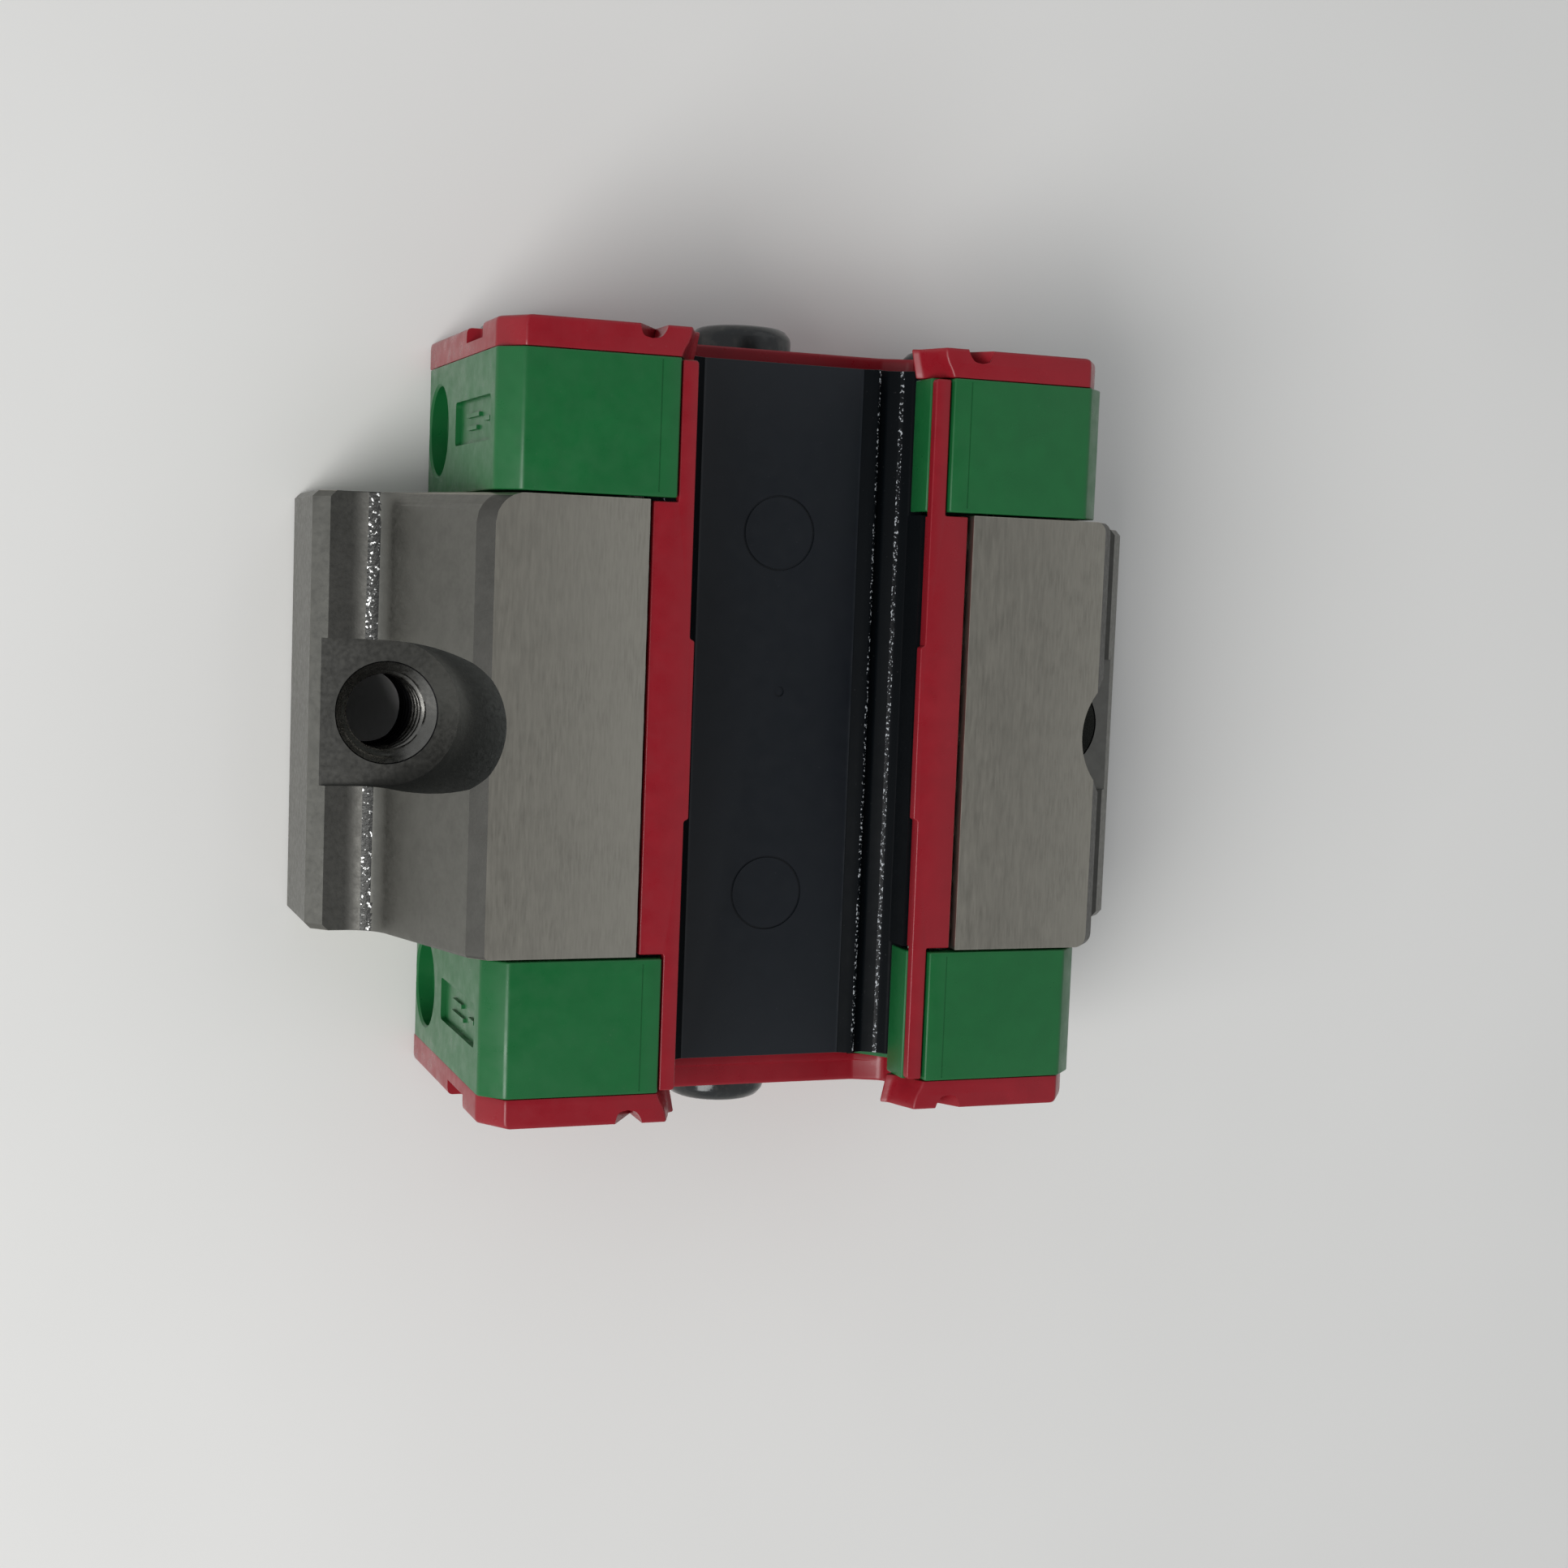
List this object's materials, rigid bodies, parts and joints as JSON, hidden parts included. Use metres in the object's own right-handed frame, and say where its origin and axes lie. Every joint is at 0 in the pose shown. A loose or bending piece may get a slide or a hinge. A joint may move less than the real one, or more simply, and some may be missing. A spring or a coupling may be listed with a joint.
{
  "type": "linear guide carriage",
  "caption": "Flanged short-block carriage of a profiled-rail linear guide, with recirculating balls, end caps, wiper seals and a slide-out shipping rail in its channel.",
  "frame": {"origin": "centre of the mounting face, which lies on the plane z = 0", "axes": "+Z from the mounting face to the open side of the rail channel, +Y along the rail, +X across it; the carriage lies upside down on its mounting face, as stored"},
  "size_m": [0.059, 0.0538, 0.0219],
  "materials": {
    "ground_steel": "finely ground and lightly oiled, darker and rougher where it is milled",
    "green_plastic": "semi-gloss injection moulding",
    "red_elastomer": "semi-gloss elastomer moulding",
    "black_plastic": "semi-matt",
    "black_gloss_plastic": "semi-gloss with a fine surface grain",
    "ivory_plastic": "semi-matt",
    "ball_steel": "polished bearing steel",
    "black_oxide_steel": "black oxide, lightly oiled"
  },
  "bodies": {
    "carriage": {"carriage_block": "ground_steel", "upper_ball_retainer": "black_plastic", "middle_ball_retainer_left": "black_plastic", "lower_ball_retainer_left": "black_plastic", "bottom_seal_left": "red_elastomer", "middle_ball_retainer_right": "black_plastic", "lower_ball_retainer_right": "black_plastic", "bottom_seal_right": "red_elastomer", "end_cap_front": "green_plastic", "end_seal_front": "red_elastomer", "grease_plug_front": "black_oxide_steel", "cap_screw_front_left": "black_oxide_steel", "return_guide_front_upper_left": "ivory_plastic", "return_guide_front_lower_left": "ivory_plastic", "cap_screw_front_right": "black_oxide_steel", "return_guide_front_upper_right": "ivory_plastic", "return_guide_front_lower_right": "ivory_plastic", "end_cap_rear": "green_plastic", "end_seal_rear": "red_elastomer", "grease_plug_rear": "black_oxide_steel", "cap_screw_rear_left": "black_oxide_steel", "return_guide_rear_upper_left": "ivory_plastic", "return_guide_rear_lower_left": "ivory_plastic", "cap_screw_rear_right": "black_oxide_steel", "return_guide_rear_upper_right": "ivory_plastic", "return_guide_rear_lower_right": "ivory_plastic", "return_tube_upper_left": "ivory_plastic", "return_tube_upper_right": "ivory_plastic", "return_tube_lower_left": "ivory_plastic", "return_tube_lower_right": "ivory_plastic"},
    "shipping_rail": {"shipping_rail": "black_gloss_plastic"},
    "loaded_balls_upper_left": {"loaded_balls_upper_left": "ball_steel"},
    "return_balls_upper_left": {"return_balls_upper_left": "ball_steel"},
    "turn_balls_front_upper_left": {"turn_balls_front_upper_left": "ball_steel"},
    "turn_balls_rear_upper_left": {"turn_balls_rear_upper_left": "ball_steel"},
    "loaded_balls_upper_right": {"loaded_balls_upper_right": "ball_steel"},
    "return_balls_upper_right": {"return_balls_upper_right": "ball_steel"},
    "turn_balls_front_upper_right": {"turn_balls_front_upper_right": "ball_steel"},
    "turn_balls_rear_upper_right": {"turn_balls_rear_upper_right": "ball_steel"},
    "loaded_balls_lower_left": {"loaded_balls_lower_left": "ball_steel"},
    "return_balls_lower_left": {"return_balls_lower_left": "ball_steel"},
    "turn_balls_front_lower_left": {"turn_balls_front_lower_left": "ball_steel"},
    "turn_balls_rear_lower_left": {"turn_balls_rear_lower_left": "ball_steel"},
    "loaded_balls_lower_right": {"loaded_balls_lower_right": "ball_steel"},
    "return_balls_lower_right": {"return_balls_lower_right": "ball_steel"},
    "turn_balls_front_lower_right": {"turn_balls_front_lower_right": "ball_steel"},
    "turn_balls_rear_lower_right": {"turn_balls_rear_lower_right": "ball_steel"}
  },
  "joints": [
    {"name": "shipping_rail_slide", "type": "slide", "parent": "carriage", "child": "shipping_rail", "axis": [0, 1, 0], "range_m": [-0.055, 0.055]},
    {"name": "circulation_upper_left", "type": "slide", "parent": "carriage", "child": "loaded_balls_upper_left", "axis": [0, 1, 0], "range_m": [-0.0016, 0.0016]},
    {"name": "return_run_upper_left", "type": "slide", "parent": "carriage", "child": "return_balls_upper_left", "axis": [0, 1, 0], "range_m": [-0.00161, 0.00161]},
    {"name": "turn_front_upper_left", "type": "hinge", "parent": "carriage", "child": "turn_balls_front_upper_left", "pos_m": [-0.0116, -0.0151, 0.01185], "axis": [-0.7071, 0, 0.7071], "range_deg": [-32, 32]},
    {"name": "turn_rear_upper_left", "type": "hinge", "parent": "carriage", "child": "turn_balls_rear_upper_left", "pos_m": [-0.0116, 0.0151, 0.01185], "axis": [-0.7071, 0, 0.7071], "range_deg": [-32, 32]},
    {"name": "circulation_upper_right", "type": "slide", "parent": "carriage", "child": "loaded_balls_upper_right", "axis": [0, 1, 0], "range_m": [-0.0016, 0.0016]},
    {"name": "return_run_upper_right", "type": "slide", "parent": "carriage", "child": "return_balls_upper_right", "axis": [0, 1, 0], "range_m": [-0.00161, 0.00161]},
    {"name": "turn_front_upper_right", "type": "hinge", "parent": "carriage", "child": "turn_balls_front_upper_right", "pos_m": [0.0116, -0.0151, 0.01185], "axis": [-0.7071, 0, -0.7071], "range_deg": [-32, 32]},
    {"name": "turn_rear_upper_right", "type": "hinge", "parent": "carriage", "child": "turn_balls_rear_upper_right", "pos_m": [0.0116, 0.0151, 0.01185], "axis": [-0.7071, 0, -0.7071], "range_deg": [-32, 32]},
    {"name": "circulation_lower_left", "type": "slide", "parent": "carriage", "child": "loaded_balls_lower_left", "axis": [0, 1, 0], "range_m": [-0.0016, 0.0016]},
    {"name": "return_run_lower_left", "type": "slide", "parent": "carriage", "child": "return_balls_lower_left", "axis": [0, 1, 0], "range_m": [-0.00161, 0.00161]},
    {"name": "turn_front_lower_left", "type": "hinge", "parent": "carriage", "child": "turn_balls_front_lower_left", "pos_m": [-0.01278, -0.0151, 0.0184], "axis": [-0.1045, 0, 0.9945], "range_deg": [-32, 32]},
    {"name": "turn_rear_lower_left", "type": "hinge", "parent": "carriage", "child": "turn_balls_rear_lower_left", "pos_m": [-0.01278, 0.0151, 0.0184], "axis": [-0.1045, 0, 0.9945], "range_deg": [-32, 32]},
    {"name": "circulation_lower_right", "type": "slide", "parent": "carriage", "child": "loaded_balls_lower_right", "axis": [0, 1, 0], "range_m": [-0.0016, 0.0016]},
    {"name": "return_run_lower_right", "type": "slide", "parent": "carriage", "child": "return_balls_lower_right", "axis": [0, 1, 0], "range_m": [-0.00161, 0.00161]},
    {"name": "turn_front_lower_right", "type": "hinge", "parent": "carriage", "child": "turn_balls_front_lower_right", "pos_m": [0.01278, -0.0151, 0.0184], "axis": [-0.1045, 0, -0.9945], "range_deg": [-32, 32]},
    {"name": "turn_rear_lower_right", "type": "hinge", "parent": "carriage", "child": "turn_balls_rear_lower_right", "pos_m": [0.01278, 0.0151, 0.0184], "axis": [-0.1045, 0, -0.9945], "range_deg": [-32, 32]}
  ],
  "couplings": [
    {"joint": "return_run_upper_left", "follows": "circulation_upper_left", "ratio": -1},
    {"joint": "turn_front_upper_left", "follows": "circulation_upper_left", "rad_per_m": 344.83},
    {"joint": "turn_rear_upper_left", "follows": "circulation_upper_left", "rad_per_m": 344.83},
    {"joint": "return_run_upper_right", "follows": "circulation_upper_right", "ratio": -1},
    {"joint": "turn_front_upper_right", "follows": "circulation_upper_right", "rad_per_m": 344.83},
    {"joint": "turn_rear_upper_right", "follows": "circulation_upper_right", "rad_per_m": 344.83},
    {"joint": "return_run_lower_left", "follows": "circulation_lower_left", "ratio": -1},
    {"joint": "turn_front_lower_left", "follows": "circulation_lower_left", "rad_per_m": 344.83},
    {"joint": "turn_rear_lower_left", "follows": "circulation_lower_left", "rad_per_m": 344.83},
    {"joint": "return_run_lower_right", "follows": "circulation_lower_right", "ratio": -1},
    {"joint": "turn_front_lower_right", "follows": "circulation_lower_right", "rad_per_m": 344.83},
    {"joint": "turn_rear_lower_right", "follows": "circulation_lower_right", "rad_per_m": 344.83}
  ]
}
